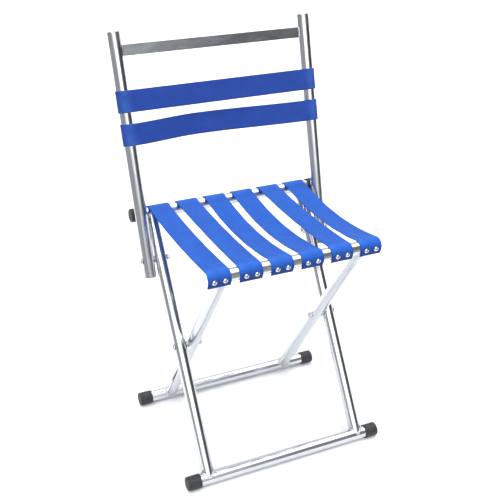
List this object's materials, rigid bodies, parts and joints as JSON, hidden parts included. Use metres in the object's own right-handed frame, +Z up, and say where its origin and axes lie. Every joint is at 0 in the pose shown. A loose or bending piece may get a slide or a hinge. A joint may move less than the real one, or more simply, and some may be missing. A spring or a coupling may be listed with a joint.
{
  "type": "folding chair",
  "caption": "Folding chair with crossed tubular steel legs, a seat of separate webbing straps, and a hinged tubular back with webbing bands and a flat crossbar.",
  "frame": {"origin": "on the floor, under the middle of the chair's width and depth", "axes": "+Z up, +X to the right as seen from in front of the chair, +Y towards the back; the chair faces -Y"},
  "size_m": [0.3832, 0.3732, 0.7305],
  "materials": {
    "steel_tube": "polished",
    "flat_bar": "satin",
    "fastener": "zinc plated",
    "rivet": "polished",
    "post_plug": "polished",
    "rubber_cap": "moulded",
    "seat_webbing": "woven",
    "back_webbing": "woven"
  },
  "bodies": {
    "outer_frame": {"front_foot_bar": "steel_tube", "outer_leg_left": "steel_tube", "outer_leg_right": "steel_tube", "rear_seat_rail": "steel_tube", "front_foot_cap_left": "rubber_cap", "front_foot_cap_right": "rubber_cap", "rear_rail_cap_left": "rubber_cap", "rear_rail_cap_right": "rubber_cap", "seat_strap_1": "seat_webbing", "seat_strap_2": "seat_webbing", "seat_strap_3": "seat_webbing", "seat_strap_4": "seat_webbing", "seat_strap_5": "seat_webbing", "seat_strap_6": "seat_webbing", "pivot_bolt_left": "fastener", "pivot_bolt_right": "fastener", "pivot_washer_left": "fastener", "pivot_washer_right": "fastener", "pivot_nut_left": "fastener", "pivot_nut_right": "fastener", "back_bolt_left": "fastener", "back_bolt_right": "fastener", "back_washer_left": "fastener", "back_washer_right": "fastener", "back_nut_left": "fastener", "back_nut_right": "fastener"},
    "inner_frame": {"rear_foot_bar": "steel_tube", "inner_leg_left": "steel_tube", "inner_leg_right": "steel_tube", "front_seat_rail": "steel_tube", "rear_foot_cap_left": "rubber_cap", "rear_foot_cap_right": "rubber_cap", "strap_1_rivet_left": "rivet", "strap_1_rivet_right": "rivet", "strap_2_rivet_left": "rivet", "strap_2_rivet_right": "rivet", "strap_3_rivet_left": "rivet", "strap_3_rivet_right": "rivet", "strap_4_rivet_left": "rivet", "strap_4_rivet_right": "rivet", "strap_5_rivet_left": "rivet", "strap_5_rivet_right": "rivet", "strap_6_rivet_left": "rivet", "strap_6_rivet_right": "rivet"},
    "back_frame": {"back_post_left": "steel_tube", "back_post_right": "steel_tube", "post_plug_left": "post_plug", "post_plug_right": "post_plug", "back_crossbar": "flat_bar", "back_band_upper": "back_webbing", "back_band_lower": "back_webbing"}
  },
  "joints": [
    {"name": "leg_fold", "type": "hinge", "parent": "outer_frame", "child": "inner_frame", "pos_m": [0, -0.03127, 0.21074], "axis": [-1, 0, 0], "range_deg": [0, 56], "deforming": ["seat_strap_1", "seat_strap_2", "seat_strap_3", "seat_strap_4", "seat_strap_5", "seat_strap_6"]},
    {"name": "back_fold", "type": "hinge", "parent": "outer_frame", "child": "back_frame", "pos_m": [0, 0.05801, 0.34484], "axis": [1, 0, 0], "range_deg": [0, 77]}
  ]
}
